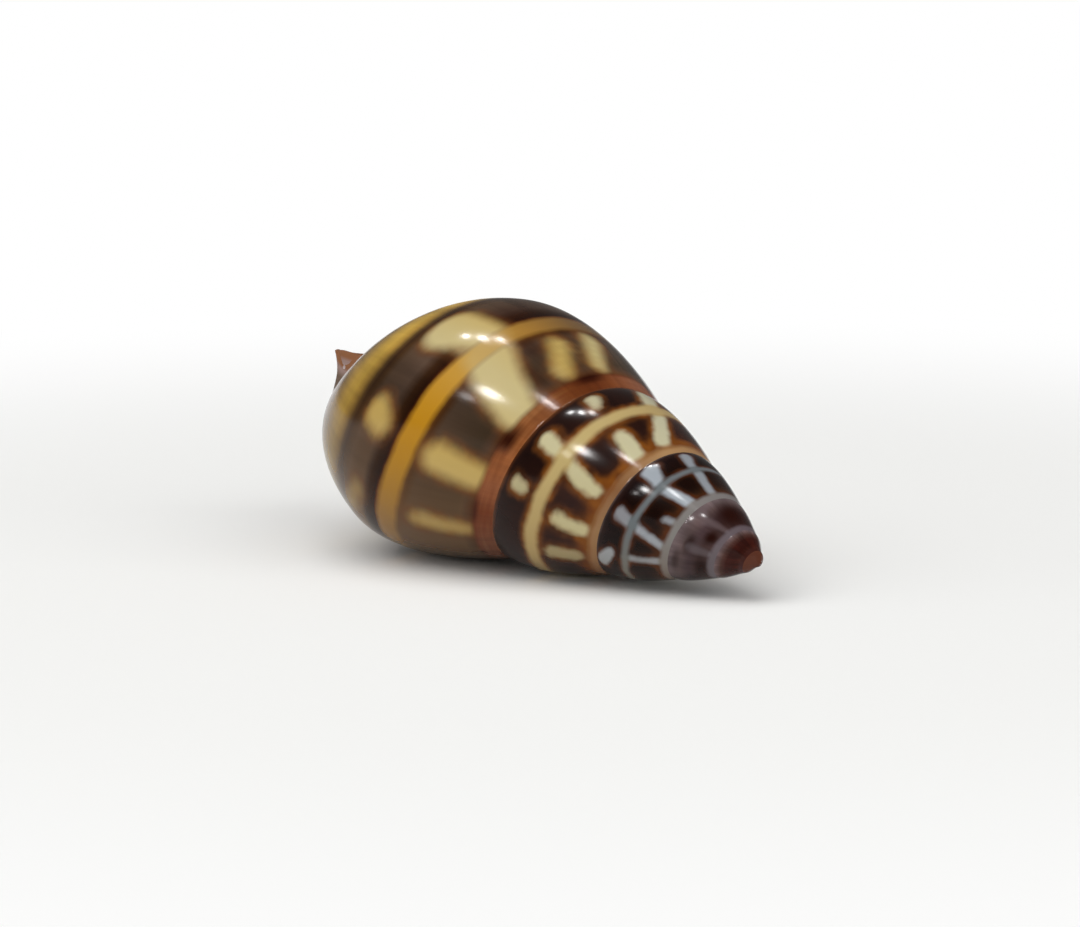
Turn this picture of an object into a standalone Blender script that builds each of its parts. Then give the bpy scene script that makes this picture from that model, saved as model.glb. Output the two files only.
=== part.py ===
"""Shell of a left-handed tree snail, lying on its back with its mouth up and its apex towards +X.

The shell is one wall. Its outer face is swept from the suture, the spiral line where each whorl meets
the next. Turns are counted along that spiral from the apex. Across a whorl, 0 is the suture above it,
1 the suture below it, 2 the end of its base and 3 the bottom of the umbilicus, which is on the axis.
Points are worked out in metres in a profile plane of (radius, depth below the apex), wound round the
axis, and laid down in the pose that the shell rests in.
"""

import math

import bmesh
import bpy
from mathutils import Matrix, Vector

mm = 0.001

# The suture: its radius and its depth grow as size * turns ** power * e ** (growth * turns).
suture_radius = 0.3838 * mm
suture_radius_power = 1.209
suture_radius_growth = 0.110
suture_depth = 0.2335 * mm
suture_depth_power = 1.614
suture_depth_growth = 0.237
lip_turn = 5.898  # where the lip meets the suture

# The wall between two sutures. A heading of 0 degrees is down the axis, and 90 is away from it.
# Handles and other shares are parts of the whorl's height, the distance between its two sutures.
leave_heading = 27.7
meet_heading = 33.3
meet_heading_per_turn = -9.13
leave_handle = 0.367
meet_handle = 0.248

# The base, from the lower suture to the edge of the umbilicus.
base_handle = 0.273
base_end_radius = 0.265
base_end_depth = 0.627
base_end_heading = -73.3
base_end_handle = 0.403

# The umbilicus, a narrow pit that the last whorl leaves along the axis.
pit_bottom = 20.4 * mm
pit_edge_handle = 0.15
pit_radius_handle = 0.01
pit_depth_handle = 0.60  # share of the pit's own depth

# The lip: its foot lags behind its top, and its edge turns outwards.
lip_lag = -0.10  # turns
lip_lag_power = 3
parietal_lag_power = 1.5
lip_lag_length = 0.45  # turns
flare = 0.5 * mm
flare_length = 0.09  # turns

# The wall's thickness, which thins towards the lip, and the hollow inside the last turns.
wall_share = 0.047
lip_thinning = 0.25
lip_thinning_length = 0.5  # turns
callus_share = 0.030
hollow_upper_corner = 0.12
hollow_parietal_corner = 1.24
columella_handle = 0.12
hollow_turns = 2.6

# The pose it rests in.
axis_droop = math.radians(16.16)  # the apex end lies lower
lip_bearing = math.radians(-89.8)  # the lip's place round the axis, from straight up

# How finely it is made.
rows_per_turn = 26
across_steps = 7
base_steps = 5
pit_steps = 3


def eased(share):
    """0 to 1 with a soft start and a soft end."""
    share = min(max(share, 0.0), 1.0)
    return share * share * (3 - 2 * share)


def heading(degrees):
    """A unit direction in the profile plane."""
    angle = math.radians(degrees)
    return Vector((math.sin(angle), math.cos(angle)))


def bezier(start, leave, arrive, end, t):
    """A point of a cubic curve and the curve's direction there."""
    s = 1 - t
    point = s**3 * start + 3 * s * s * t * leave + 3 * s * t * t * arrive + t**3 * end
    way = s * s * (leave - start) + 2 * s * t * (arrive - leave) + t * t * (end - arrive)
    return point, way.normalized()


def suture(turn):
    """The suture's radius and depth. Before the first turn it is at the apex."""
    turn = max(turn, 0.0)
    radius = suture_radius * turn**suture_radius_power * math.exp(suture_radius_growth * turn)
    depth = suture_depth * turn**suture_depth_power * math.exp(suture_depth_growth * turn)
    return Vector((radius, depth))


def whorl_height(turn):
    return (suture(turn + 1) - suture(turn)).length


def wall_profile(turn, across):
    """A point of the outer face in the profile plane and the way out of the wall there."""
    upper, lower = suture(turn), suture(turn + 1)
    height = whorl_height(turn)
    meet = heading(meet_heading + meet_heading_per_turn * turn)
    end = Vector((height * base_end_radius, lower.y + height * base_end_depth))
    end_way = heading(base_end_heading)
    if across <= 1:
        leave = upper + heading(leave_heading) * height * leave_handle
        arrive = lower - meet * height * meet_handle
        point, way = bezier(upper, leave, arrive, lower, across)
    elif across <= 2:
        leave = lower + meet * height * base_handle
        arrive = end - end_way * (end - lower).length * base_end_handle
        point, way = bezier(lower, leave, arrive, end, across - 1)
    else:
        bottom = Vector((0, pit_bottom))
        leave = end + end_way * height * pit_edge_handle
        arrive = bottom + Vector((pit_radius_handle * height, pit_depth_handle * (end.y - pit_bottom)))
        point, way = bezier(end, leave, arrive, bottom, across - 2)
    return point, Vector((way.y, -way.x))


def lip_flare(row, across):
    """How far the wall stands out near the lip. It stays down at the suture and in the umbilicus."""
    along = max(1 + (row - lip_turn) / flare_length, 0.0)
    share = eased((across - 0.1) / 0.7) * (1 - eased(across - 2))
    return flare * along**2 * share


def lag(row, across, parietal=False):
    """How many turns a row's point lies behind the row's own turn, for the slant of the mouth."""
    if parietal:
        share = min(across - 1, 1) ** parietal_lag_power
    else:
        share = (min(across, 2) / 2) ** lip_lag_power
    return lip_lag * share * eased(1 + (row - lip_turn) / lip_lag_length)


def wound(turn, point):
    """A profile point wound round the axis, with the apex at the top and the lip's top at +X."""
    angle = math.tau * (turn - lip_turn)
    return Vector((point.x * math.cos(angle), point.x * math.sin(angle), -point.y))


def outer_point(row, across):
    turn = row + lag(row, across)
    point, out = wall_profile(turn, across)
    return wound(turn, point + out * lip_flare(row, across))


def parietal_point(row, across):
    """A point on the base of the whorl above the mouth: row is the row of the whorl below it."""
    turn = row - 1 + lag(row, across, parietal=True)
    return wound(turn, wall_profile(turn, across)[0])


def base_point(row, across):
    """A point of the last whorl's base. Near the mouth's inner edge it lags as that edge does."""
    behind = 1 - eased((row - lip_turn + 1) / lip_lag_length)
    turn = row + lag(row, across) + behind * lag(lip_turn, across, parietal=True)
    point, out = wall_profile(turn, across)
    return wound(turn, point + out * lip_flare(row, across))


def hollow_ring(row):
    """One ring of the hollow: down the outer wall, up the columella, and out along the parietal wall."""
    ring = []
    thinning = lip_thinning * eased(1 + (row - lip_turn) / lip_thinning_length)
    for across in lip_steps():
        inner = hollow_upper_corner + (2 - hollow_upper_corner) * across / 2
        turn = row + lag(row, inner)
        point, out = wall_profile(turn, inner)
        inset = wall_share * (1 - thinning) * whorl_height(turn)
        foot = point + out * (lip_flare(row, inner) - inset)
        ring.append(wound(turn, foot))
    turn = row + lag(row, 2)
    head, out = wall_profile(turn - 1, 2)
    head = head + out * callus_share * whorl_height(turn - 1)
    reach = heading(base_end_heading) * columella_handle * whorl_height(turn)
    columella_steps = 2 * pit_steps
    for i in range(1, columella_steps):
        point = bezier(foot, foot + reach, head + reach, head, i / columella_steps)[0]
        ring.append(wound(turn, point))
    for across in evenly(2, hollow_parietal_corner, base_steps):
        turn = row - 1 + lag(row, across, parietal=True)
        point, out = wall_profile(turn, across)
        ring.append(wound(turn, point + out * callus_share * whorl_height(turn)))
    return ring


def evenly(first, last, steps):
    return [first + (last - first) * i / steps for i in range(steps + 1)]


def lip_steps():
    """The steps across the last whorl, from its suture to the end of its base."""
    return evenly(0, 1, across_steps) + evenly(1, 2, base_steps)[1:]


def mouth_ring():
    """The mouth's outer edge: the lip, round the umbilicus, and the parietal wall back to the suture."""
    ring = [outer_point(lip_turn, across) for across in lip_steps()]
    pit = evenly(2, 3, pit_steps)[1:]
    ring += [outer_point(lip_turn, across) for across in pit]
    ring += [parietal_point(lip_turn, across) for across in reversed(pit[:-1])]
    ring += [parietal_point(lip_turn, across) for across in evenly(2, 1, base_steps)]
    return ring


def skin(mesh, rows):
    """Faces between each row of points and the next."""
    rows = [[mesh.verts.new(point) for point in row] for row in rows]
    for one, other in zip(rows, rows[1:]):
        for i in range(len(one) - 1):
            mesh.faces.new((one[i], one[i + 1], other[i + 1], other[i]))
    return rows


def closed(ring):
    return ring + ring[:1]


def shell_mesh():
    """The whole shell with its axis along Z and the apex at the origin."""
    mesh = bmesh.new()
    turns_swept = math.floor(lip_turn) + 1
    rows = [lip_turn - i / rows_per_turn for i in range(turns_swept * rows_per_turn + rows_per_turn)]
    rows = sorted(row for row in rows if row > -1)
    last_whorl = [row for row in rows if row > lip_turn - 1 - 0.5 / rows_per_turn]
    skin(mesh, [[outer_point(row, across) for across in evenly(0, 1, across_steps)] for row in rows])
    underside = evenly(1, 2, base_steps) + evenly(2, 3, pit_steps)[1:]
    skin(mesh, [[base_point(row, across) for across in underside] for row in last_whorl])
    hollow = evenly(lip_turn, lip_turn - hollow_turns, round(hollow_turns * rows_per_turn))
    inside = [closed(hollow_ring(row)) for row in hollow]
    grown = skin(mesh, [closed(mouth_ring())] + inside)
    mesh.faces.new(grown[-1][:-1])
    bmesh.ops.remove_doubles(mesh, verts=mesh.verts, dist=0.002 * mm)
    bmesh.ops.recalc_face_normals(mesh, faces=mesh.faces)
    return mesh


def laid_down():
    """Turns the upright shell into its rest pose: the axis along X with the apex end low."""
    apex_way = Vector((math.cos(axis_droop), 0, -math.sin(axis_droop)))
    up_way = Vector((math.sin(axis_droop), 0, math.cos(axis_droop)))
    side_way = apex_way.cross(up_way)
    pose = Matrix((up_way, side_way, apex_way)).transposed().to_4x4()
    return pose @ Matrix.Rotation(lip_bearing, 4, "Z")


def shell_material():
    material = bpy.data.materials.new("glossy_shell")
    material.use_nodes = True
    surface = material.node_tree.nodes["Principled BSDF"]
    surface.inputs["Base Color"].default_value = (0.25, 0.15, 0.06, 1)
    surface.inputs["Roughness"].default_value = 0.2
    surface.inputs["Metallic"].default_value = 0.0
    return material


def build_shell():
    mesh = shell_mesh()
    bmesh.ops.transform(mesh, matrix=laid_down(), verts=mesh.verts)
    low = Vector(min(vert.co[i] for vert in mesh.verts) for i in range(3))
    high = Vector(max(vert.co[i] for vert in mesh.verts) for i in range(3))
    stand = Vector((-(low.x + high.x) / 2, -(low.y + high.y) / 2, -low.z))
    bmesh.ops.translate(mesh, vec=stand, verts=mesh.verts)
    data = bpy.data.meshes.new("shell")
    mesh.to_mesh(data)
    mesh.free()
    data.shade_smooth()
    data.set_sharp_from_angle(angle=math.radians(50))
    data.materials.append(shell_material())
    shell = bpy.data.objects.new("shell", data)
    bpy.context.scene.collection.objects.link(shell)


for leftover in list(bpy.data.objects):
    bpy.data.objects.remove(leftover, do_unlink=True)
build_shell()
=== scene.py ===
# Empty shell of a tree snail that coils to the left, lying on its back with its mouth up
import math
import random
from functools import partial
import bmesh
import bpy
import numpy as np
from mathutils import Matrix, Vector


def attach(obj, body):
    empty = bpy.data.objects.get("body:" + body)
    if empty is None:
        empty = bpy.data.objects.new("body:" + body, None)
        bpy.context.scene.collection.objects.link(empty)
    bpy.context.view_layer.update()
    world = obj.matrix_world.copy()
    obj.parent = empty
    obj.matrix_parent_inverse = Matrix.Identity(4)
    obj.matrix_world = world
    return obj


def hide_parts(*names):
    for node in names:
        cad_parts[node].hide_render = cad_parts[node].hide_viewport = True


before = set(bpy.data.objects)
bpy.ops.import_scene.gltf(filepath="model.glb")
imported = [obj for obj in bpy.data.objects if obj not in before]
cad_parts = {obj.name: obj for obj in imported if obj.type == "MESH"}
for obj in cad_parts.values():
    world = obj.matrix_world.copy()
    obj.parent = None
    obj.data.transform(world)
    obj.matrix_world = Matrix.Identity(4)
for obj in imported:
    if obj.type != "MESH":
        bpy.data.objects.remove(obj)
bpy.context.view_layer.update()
mm = 0.001


def direction(degrees, length=1.0):  # from straight down the axis
    angle = math.radians(degrees)
    return (math.sin(angle) * length, math.cos(angle) * length, 0)


# The shell's growth. Turns are counted from the apex along the suture, the spiral line where a whorl meets
# the next. Across a whorl, 0 is the suture above it, 1 the suture below it, 2 the end of its base and 3 the
# bottom of the umbilicus. Triples are (away from the axis, down the axis, 0). A reach is how far a curve's
# control point lies from its end, as a share of the whorl's height. Each entry of this dictionary and of the
# next two is an input of the node trees.
growth = {
    "sutureSize": (0.3838 * mm, 0.2335 * mm, 0),  # size * turns ^ power * e ^ (growth * turns)
    "suturePower": (1.209, 1.614, 1),
    "sutureGrowth": (0.110, 0.237, 0),
    "lipTurn": 5.898,
    "leaveReach": direction(27.7, 0.367),  # the wall as it leaves the suture above
    "meetHeading": math.radians(33.3),  # and as it meets the suture below
    "meetHeadingPerTurn": math.radians(-9.13),
    "meetReach": 0.248,
    "baseReach": 0.273,
    "baseEnd": (0.265, 0.627, 0),  # the edge of the umbilicus
    "baseEndWay": direction(-73.3),
    "baseEndReach": 0.403,
    "pitBottom": (0, 20.4 * mm, 0),
    "pitEdgeReach": 0.03,
    "pitArrive": (0.038, 0.60, 0),
}

# The mouth and the wall behind it
mouth = {
    "lipLag": -0.10,  # turns that the foot of the lip lies behind its top
    "lipLagLength": 0.45,  # turns
    "lagReach": 2.3,  # across, where the lag stops growing
    "flare": 0.5 * mm,  # that the lip turns out
    "flareLength": 0.09,  # turns
    "wallShare": 0.047,  # thickness, as a share of the whorl's height
    "lipThinning": 0.25,
    "lipThinningLength": 0.5,  # turns
    "callusShare": 0.030,
    "upperCorner": 0.12,  # across
    "parietalCorner": 1.24,
    "columellaReach": 0.12,
    "ripple": 0.02 * mm,  # low unevenness left by growth
    "ripplesPerTurn": 16.0,
}

# The hollow, how the shell lies and how finely its skin is made
skin = {
    "hollowTurns": 2.6,
    "lipBulge": 0.9,  # how far the lip's edge rounds over, as a share of half its thickness
    "columellaBulge": 0.35,
    "axisDroop": math.radians(16.16),
    "lipBearing": math.radians(-89.8),
    "rowsPerTurn": 216,
    "hollowRowsPerTurn": 40,
    "stepsAcross": 28,
    "rimSteps": 10,
    "sutureCrowding": 0.75,  # 0 spaces the steps evenly, near 1 they bunch up beside the sutures
}

# What the trees keep fixed: where a thing starts and is full, across or in turns, and how fast it grows
fixed = {
    "flareRises": (0.1, 0.8),
    "flareFalls": (2.3, 1.75),
    "flarePower": 2,
    "lagPower": 3,
    "parietalLagPower": 1.5,
    "ripplesAcross": 0.8,
    "ripplesFrom": (1.5, 5),
    "bulgeFrom": (1.7, 2.6),  # across, where the lip's edge gives way to the columella's
    "mergeDistance": 0.0001 * mm,
    "apexReach": 0.03 * mm,  # within which the rows run together in one point
}

# Blender's names for the nodes used most. A mix node's inputs go by number: 0 is the share, or 1 where each
# axis has its own, 2 and 3 are numbers, 4 and 5 vectors, 6 and 7 colours.
calc, vectorCalc = "ShaderNodeMath", "ShaderNodeVectorMath"
mapRange, mixNode, noise = "ShaderNodeMapRange", "ShaderNodeMix", "ShaderNodeTexNoise"
combine, separate = "ShaderNodeCombineXYZ", "ShaderNodeSeparateXYZ"
groupNode, transform = "GeometryNodeGroup", "GeometryNodeTransform"
floatSocket, vectorSocket = "NodeSocketFloat", "NodeSocketVector"


def addNode(tree, kind, links=(), **settings):
    node = tree.nodes.new(kind)
    for name, value in settings.items():
        setattr(node, name, value)
    for key, source in (links.items() if isinstance(links, dict) else enumerate(links)):
        if isinstance(source, bpy.types.Node):
            source = next(output for output in source.outputs if output.enabled)
        if isinstance(source, bpy.types.NodeSocket):
            tree.links.new(source, node.inputs[key])
        else:
            node.inputs[key].default_value = source
    return node


def newGroup(name, sockets, results):
    tree = bpy.data.node_groups.new(name, "GeometryNodeTree")
    kinds = {float: floatSocket, tuple: vectorSocket, int: "NodeSocketInt", type(None): "NodeSocketMaterial"}
    for title, value in sockets.items():
        socket = tree.interface.new_socket(title, in_out="INPUT", socket_type=kinds[type(value)])
        if value is not None:
            socket.default_value = value
    for title, kind in results.items():
        tree.interface.new_socket(title, in_out="OUTPUT", socket_type=kind)
    entry = tree.nodes.new("NodeGroupInput")
    return tree, partial(addNode, tree), {output.name: output for output in entry.outputs}


def titled(sizes):  # lipTurn becomes Lip Turn, the name of a group's input
    named = {}
    for name, value in sizes.items():
        spaced = "".join(" " * letter.isupper() + letter for letter in name)
        named[spaced.title()] = value
    return named


def only(given, names):
    return {name: given[name] for name in names}


def ends(inputs, span):  # the two ends of a range, as a map range node's inputs
    return {inputs + " Min": span[0], inputs + " Max": span[1]}


wallSizes, mouthSizes, skinSizes = titled(growth), titled(mouth), titled(skin)
spiralSizes = only(wallSizes, ["Suture Size", "Suture Power", "Suture Growth"])
rowAndAcross = {"Row": 0.0, "Across": 0.0}


def curvePoint(add, along, corners):  # by closing in on it; its last two neighbours show which way it heads
    while len(corners) > 1:
        lastPair = corners
        corners = [add(mixNode, {0: along, 4: one, 5: other}, data_type="VECTOR")
                   for one, other in zip(corners, corners[1:])]
    return corners[0], lastPair


def sutureGroup():  # where the spiral line is at a turn
    tree, add, given = newGroup("suturePoint", {"Turn": 0.0, **spiralSizes}, {"Point": vectorSocket})
    turn = add(calc, (given["Turn"], 0), operation="MAXIMUM")
    powered = add(vectorCalc, (turn, given["Suture Power"]), operation="POWER")
    exponent = add(vectorCalc, (given["Suture Growth"], turn), operation="MULTIPLY")
    grown = add(vectorCalc, ((math.e,) * 3, exponent), operation="POWER")
    sized = add(vectorCalc, (powered, given["Suture Size"]), operation="MULTIPLY")
    point = add(vectorCalc, (sized, grown), operation="MULTIPLY")
    add("NodeGroupOutput", {"Point": point})
    return tree


def wallGroup(suture):  # a point of the wall in the plane of (away from the axis, down the axis)
    own = dict.fromkeys(("Turn", "Across", "Offset", "Offset Share"), 0.0)
    results = {"Profile": vectorSocket, "Height": floatSocket}
    tree, add, given = newGroup("wallPoint", {**own, **wallSizes}, results)
    spiral = only(given, spiralSizes)
    endWay = given["Base End Way"]
    nextTurn = add(calc, (given["Turn"], 1), operation="ADD")
    upper = add(groupNode, {**spiral, "Turn": given["Turn"]}, node_tree=suture)
    lower = add(groupNode, {**spiral, "Turn": nextTurn}, node_tree=suture)
    rise = add(vectorCalc, (lower, upper), operation="SUBTRACT")
    height = add(vectorCalc, (rise,), operation="LENGTH").outputs["Value"]

    # the control points of the wall
    leave = add(vectorCalc, (given["Leave Reach"], height, upper), operation="MULTIPLY_ADD")
    turning = add(calc, (given["Turn"], given["Meet Heading Per Turn"]), operation="MULTIPLY")
    heading = add(calc, (turning, given["Meet Heading"]), operation="ADD")
    turned = add(calc, (heading, -1), operation="MULTIPLY")
    meetWay = add("ShaderNodeVectorRotate", {"Vector": (0, 1, 0), "Angle": turned}, rotation_type="Z_AXIS")
    meetWay = add(vectorCalc, (meetWay, height), operation="MULTIPLY")
    meetReach = add(vectorCalc, (meetWay, given["Meet Reach"]), operation="MULTIPLY")
    meet = add(vectorCalc, (lower, meetReach), operation="SUBTRACT")

    # of the base
    baseLeave = add(vectorCalc, (meetWay, given["Base Reach"], lower), operation="MULTIPLY_ADD")
    lowerDepth = add(vectorCalc, (lower, (0, 1, 0)), operation="MULTIPLY")
    end = add(vectorCalc, (given["Base End"], height, lowerDepth), operation="MULTIPLY_ADD")
    baseSpan = add(vectorCalc, (end, lower), operation="DISTANCE").outputs["Value"]
    endReach = add(calc, (baseSpan, given["Base End Reach"]), operation="MULTIPLY")
    endPull = add(vectorCalc, (endWay, endReach), operation="MULTIPLY")
    baseArrive = add(vectorCalc, (end, endPull), operation="SUBTRACT")

    # and of the umbilicus
    pitReach = add(calc, (height, given["Pit Edge Reach"]), operation="MULTIPLY")
    pitLeave = add(vectorCalc, (endWay, pitReach, end), operation="MULTIPLY_ADD")
    pitArrive = add(mixNode, {1: given["Pit Arrive"], 4: given["Pit Bottom"], 5: end}, data_type="VECTOR",
                    factor_mode="NON_UNIFORM")

    # which of the three the point is on, and how far along
    onBase = add(calc, (given["Across"], 1), operation="GREATER_THAN")
    onPit = add(calc, (given["Across"], 2), operation="GREATER_THAN")
    passed = add(calc, (onBase, onPit), operation="ADD")
    along = add(calc, (given["Across"], passed), operation="SUBTRACT")
    wallCorners = (upper, leave, meet, lower)
    baseCorners = (lower, baseLeave, baseArrive, end)
    pitCorners = (end, pitLeave, pitArrive, given["Pit Bottom"])
    corners = []
    for onWall, below, inPit in zip(wallCorners, baseCorners, pitCorners):
        either = add(mixNode, {0: onBase, 4: onWall, 5: below}, data_type="VECTOR")
        corners.append(add(mixNode, {0: onPit, 4: either, 5: inPit}, data_type="VECTOR"))
    middle, (before, after) = curvePoint(add, along, corners)
    way = add(vectorCalc, (after, before), operation="SUBTRACT")
    sideways = add(vectorCalc, (way, (0, 0, 1)), operation="CROSS_PRODUCT")
    out = add(vectorCalc, (sideways,), operation="NORMALIZE")
    offset = add(calc, (height, given["Offset Share"], given["Offset"]), operation="MULTIPLY_ADD")
    profile = add(vectorCalc, (out, offset, middle), operation="MULTIPLY_ADD")
    add("NodeGroupOutput", {"Profile": profile, "Height": height})
    return tree


def windGroup():  # a profile point wound round the axis, with the apex up
    own = {"Profile": (0, 0, 0), "Turn": 0.0, "Lip Turn": 0.0}
    tree, add, given = newGroup("windPoint", own, {"Position": vectorSocket})
    flat = add(separate, (given["Profile"],))
    down = add(calc, (flat.outputs["Y"], -1), operation="MULTIPLY")
    upright = add(combine, {"X": flat.outputs["X"], "Z": down})
    turns = add(calc, (given["Turn"], given["Lip Turn"]), operation="SUBTRACT")
    angle = add(calc, (turns, math.tau), operation="MULTIPLY")
    wound = add("ShaderNodeVectorRotate", {"Vector": upright, "Angle": angle}, rotation_type="Z_AXIS")
    add("NodeGroupOutput", {"Position": wound})
    return tree


def nearLipGroup():  # lag and flare of the wall, which grow towards the lip
    titles = ("Lag", "Parietal Lag", "Parietal Lag At Lip", "Flare", "Thickness")
    results = dict.fromkeys(titles, floatSocket)
    sockets = {**rowAndAcross, **only(wallSizes, ["Lip Turn"]), **mouthSizes}
    tree, add, given = newGroup("nearLip", sockets, results)
    row, across, lip = given["Row"], given["Across"], given["Lip Turn"]
    lagFrom = add(calc, (lip, given["Lip Lag Length"]), operation="SUBTRACT")
    lagging = add(mapRange, {"Value": row, **ends("From", (lagFrom, lip))},
                  interpolation_type="SMOOTHSTEP")
    fullLag = add(calc, (lagging, given["Lip Lag"]), operation="MULTIPLY")
    lagged = add(calc, (across, given["Lag Reach"]), operation="MINIMUM")
    footward = add(calc, (lagged, 2), operation="DIVIDE")
    footShare = add(calc, (footward, fixed["lagPower"]), operation="POWER")
    lag = add(calc, (fullLag, footShare), operation="MULTIPLY")
    baseward = add(mapRange, {"Value": across, **ends("From", (1, 2))})
    parietalShare = add(calc, (baseward, fixed["parietalLagPower"]), operation="POWER")
    parietal = add(calc, (fullLag, parietalShare), operation="MULTIPLY")
    atLip = add(calc, (given["Lip Lag"], parietalShare), operation="MULTIPLY")

    # the flare, which stays down at the suture and in the umbilicus
    flareFrom = add(calc, (lip, given["Flare Length"]), operation="SUBTRACT")
    flaring = add(mapRange, {"Value": row, **ends("From", (flareFrom, lip))})
    share = add(calc, (flaring, fixed["flarePower"]), operation="POWER")
    for name in ("flareRises", "flareFalls"):
        standing = add(mapRange, {"Value": across, **ends("From", fixed[name])},
                       interpolation_type="SMOOTHSTEP")
        share = add(calc, (share, standing), operation="MULTIPLY")

    # low growth ripples, which die out at the sutures and towards the apex
    seat = add(combine, {"X": row, "Y": across})
    stretch = add(combine, {"X": given["Ripples Per Turn"], "Y": fixed["ripplesAcross"]})
    rippleSpot = add(vectorCalc, (seat, stretch), operation="MULTIPLY")
    rippleNoise = add(noise, {"Vector": rippleSpot, "Scale": 1, "Detail": 1})
    centred = add(calc, (rippleNoise, 0.5), operation="SUBTRACT")
    fading = add(calc, (across, math.pi), operation="MULTIPLY")
    fading = add(calc, (fading,), operation="SINE")
    fading = add(calc, (fading,), operation="ABSOLUTE")
    ripple = add(calc, (centred, fading), operation="MULTIPLY")
    older = add(mapRange, {"Value": row, **ends("From", fixed["ripplesFrom"])})
    for factor in (older, given["Ripple"]):
        ripple = add(calc, (ripple, factor), operation="MULTIPLY")
    flare = add(calc, (share, given["Flare"], ripple), operation="MULTIPLY_ADD")

    thinFrom = add(calc, (lip, given["Lip Thinning Length"]), operation="SUBTRACT")
    thinning = add(mapRange, {"Value": row, **ends("From", (thinFrom, lip))},
                   interpolation_type="SMOOTHSTEP")
    thinned = add(calc, (thinning, given["Lip Thinning"]), operation="MULTIPLY")
    kept = add(calc, (1, thinned), operation="SUBTRACT")
    thickness = add(calc, (kept, given["Wall Share"]), operation="MULTIPLY")
    add("NodeGroupOutput", dict(zip(titles, (lag, parietal, atLip, flare, thickness))))
    return tree


def outerGroup(wall, wind, nearLip):  # the outer face, and the turn that each point truly belongs to
    results = {"Position": vectorSocket, "Turn": floatSocket}
    tree, add, given = newGroup("outerPoint", {**rowAndAcross, **wallSizes, **mouthSizes}, results)
    row, lip = given["Row"], given["Lip Turn"]
    near = add(groupNode, only(given, [*rowAndAcross, "Lip Turn", *mouthSizes]), node_tree=nearLip)

    # under the mouth the base starts along the mouth's inner edge
    start = add(calc, (lip, 1), operation="SUBTRACT")
    settled = add(calc, (start, given["Lip Lag Length"]), operation="ADD")
    behind = add(mapRange, {"Value": row, **ends("From", (settled, start))},
                 interpolation_type="SMOOTHSTEP")
    lagged = add(calc, (row, near.outputs["Lag"]), operation="ADD")
    turn = add(calc, (behind, near.outputs["Parietal Lag At Lip"], lagged), operation="MULTIPLY_ADD")
    point = add(groupNode, {**only(given, [*wallSizes, "Across"]), "Turn": turn,
                            "Offset": near.outputs["Flare"]}, node_tree=wall)
    wound = add(groupNode, {"Profile": point, "Turn": turn, "Lip Turn": lip}, node_tree=wind)
    add("NodeGroupOutput", {"Position": wound, "Turn": turn})
    return tree


def hollowGroup(wall, wind, nearLip):
    # A ring of the hollow: 0 to 2 down the outer wall, to 4 up the columella, to 5 out along the wall of the
    # whorl above, and to 6 back to the upper corner
    results = {"Position": vectorSocket, "Turn": floatSocket, "Across": floatSocket}
    tree, add, given = newGroup("hollowPoint", {"Row": 0.0, "Ring": 0.0, **wallSizes, **mouthSizes}, results)
    row, ring, lip, endWay = given["Row"], given["Ring"], given["Lip Turn"], given["Base End Way"]
    sizes = only(given, wallSizes)
    lipSizes = only(given, ["Lip Turn", *mouthSizes])
    beforeTop = add(calc, (ring, 5), operation="LESS_THAN")
    onWall = add(calc, (ring, beforeTop), operation="MULTIPLY")
    across = add(mapRange, {"Value": onWall, **ends("From", (0, 2)),
                            **ends("To", (given["Upper Corner"], 2))})
    acrossAbove = add(mapRange, {"Value": ring, **ends("From", (4, 5)),
                                 **ends("To", (2, given["Parietal Corner"]))})
    near = add(groupNode, {**lipSizes, "Row": row, "Across": across}, node_tree=nearLip)
    nearAbove = add(groupNode, {**lipSizes, "Row": row, "Across": acrossAbove}, node_tree=nearLip)
    turn = add(calc, (row, near.outputs["Lag"]), operation="ADD")
    rowAbove = add(calc, (row, 1), operation="SUBTRACT")
    turnAbove = add(calc, (rowAbove, nearAbove.outputs["Parietal Lag"]), operation="ADD")
    inward = add(calc, (near.outputs["Thickness"], -1), operation="MULTIPLY")
    foot = add(groupNode, {**sizes, "Turn": turn, "Across": across, "Offset": near.outputs["Flare"],
                           "Offset Share": inward}, node_tree=wall)
    head = add(groupNode, {**sizes, "Turn": turnAbove, "Across": acrossAbove,
                           "Offset Share": given["Callus Share"]}, node_tree=wall)

    # the columella curves from the foot of the wall to the whorl above
    reach = add(calc, (foot.outputs["Height"], given["Columella Reach"]), operation="MULTIPLY")
    footReach = add(vectorCalc, (endWay, reach, foot), operation="MULTIPLY_ADD")
    headReach = add(vectorCalc, (endWay, reach, head), operation="MULTIPLY_ADD")
    up = add(mapRange, {"Value": ring, **ends("From", (2, 4))})
    middle = curvePoint(add, up, [foot, footReach, headReach, head])[0]
    above = add(calc, (ring, 4), operation="GREATER_THAN")
    ownTurn = add(mixNode, {0: above, 2: turn, 3: turnAbove})
    ownAcross = add(mixNode, {0: above, 2: across, 3: acrossAbove})
    first = add(groupNode, {"Profile": middle, "Turn": ownTurn, "Lip Turn": lip}, node_tree=wind)
    last = add(groupNode, {"Profile": foot, "Turn": turn, "Lip Turn": lip}, node_tree=wind)
    closing = add(mapRange, {"Value": ring, **ends("From", (5, 6))})
    position = add(mixNode, {0: closing, 4: first, 5: last}, data_type="VECTOR")
    add("NodeGroupOutput", {"Position": position, "Turn": ownTurn, "Across": ownAcross})
    return tree


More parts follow.
